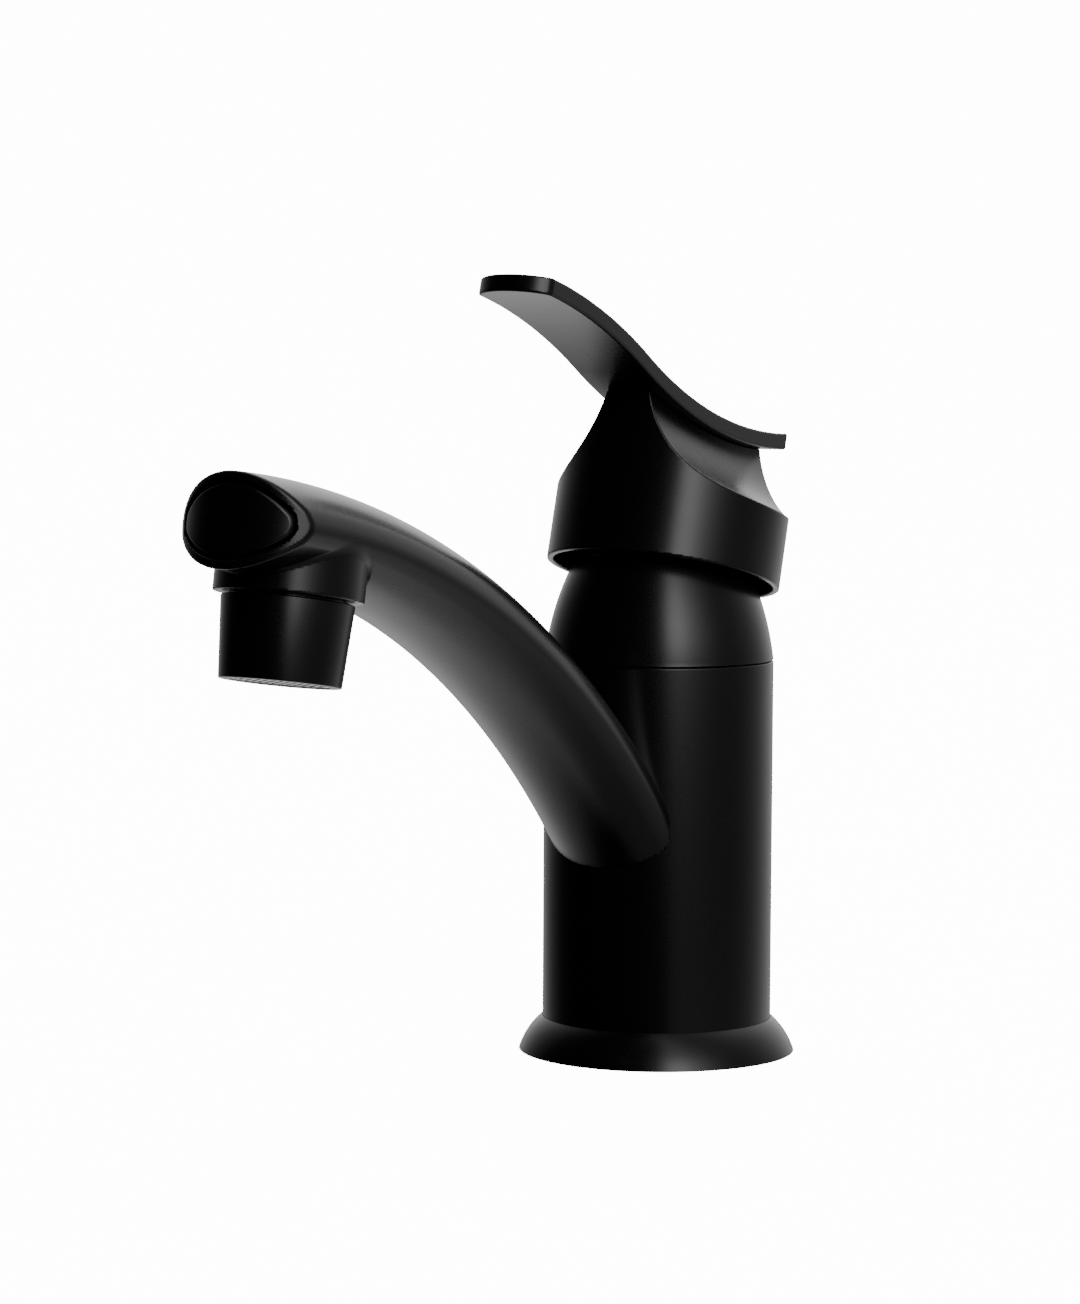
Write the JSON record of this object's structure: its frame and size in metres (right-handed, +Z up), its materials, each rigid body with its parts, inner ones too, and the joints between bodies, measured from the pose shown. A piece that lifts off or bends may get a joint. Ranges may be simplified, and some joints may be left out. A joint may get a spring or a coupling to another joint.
{
  "type": "bathroom mixer faucet",
  "caption": "Deck-mounted basin mixer with a round body, an arched fixed spout with an aerator, and a single lever that turns and lifts over a ceramic-disc cartridge.",
  "frame": {"origin": "centre of the base flange on the deck", "axes": "+Z up along the body's axis, spout and lever point to -Y, +X is to the right of a user who faces the spout"},
  "size_m": [0.0626, 0.2075, 0.1749],
  "materials": {
    "black_coating": "satin",
    "brass_cast": "machined",
    "rubber_seal": "matte",
    "steel": "brushed",
    "white_plastic": "matte",
    "orange_plastic": "matte",
    "green_plastic": "matte",
    "disc_ceramic": "polished",
    "mesh_steel": "satin",
    "cover_plastic": "matte"
  },
  "bodies": {
    "mixer_body": {"base_flange": "black_coating", "base_gasket": "rubber_seal", "body": "black_coating", "inlet_block": "brass_cast", "waterway": "brass_cast", "spout": "black_coating", "spout_root_seal": "rubber_seal", "spout_end_cap": "black_coating", "end_cap_seal": "rubber_seal", "aerator_sleeve": "black_coating", "aerator_insert": "white_plastic", "aerator_mesh": "mesh_steel", "flow_regulator": "green_plastic", "aerator_washer": "rubber_seal", "cartridge_shroud": "black_coating", "shroud_o_ring": "rubber_seal", "retaining_nut": "brass_cast", "cartridge_housing": "white_plastic", "cartridge_base": "white_plastic", "port_seals": "rubber_seal", "fixed_disc": "disc_ceramic"},
    "turning_core": {"cartridge_rotor": "orange_plastic", "pivot_pin": "steel"},
    "lever": {"lever_stem": "steel", "handle_hub": "black_coating", "lever_blade": "black_coating", "blade_screws": "steel", "handle_grub_screw": "steel", "grub_screw_plug": "cover_plastic"},
    "disc_slide": {"disc_carrier": "orange_plastic", "moving_disc": "disc_ceramic"}
  },
  "joints": [
    {"name": "temperature_turn", "type": "hinge", "parent": "mixer_body", "child": "turning_core", "pos_m": [0, 0, 0.103], "axis": [0, 0, 1], "range_deg": [-45, 45]},
    {"name": "flow_lift", "type": "hinge", "parent": "turning_core", "child": "lever", "pos_m": [0, 0, 0.103], "axis": [-1, 0, 0], "range_deg": [-15.1, 9.9]},
    {"name": "disc_travel", "type": "slide", "parent": "turning_core", "child": "disc_slide", "axis": [0, -1, 0], "range_m": [-0.0024, 0.0016]}
  ],
  "couplings": [
    {"joint": "disc_travel", "follows": "flow_lift", "m_per_rad": 0.00869}
  ]
}
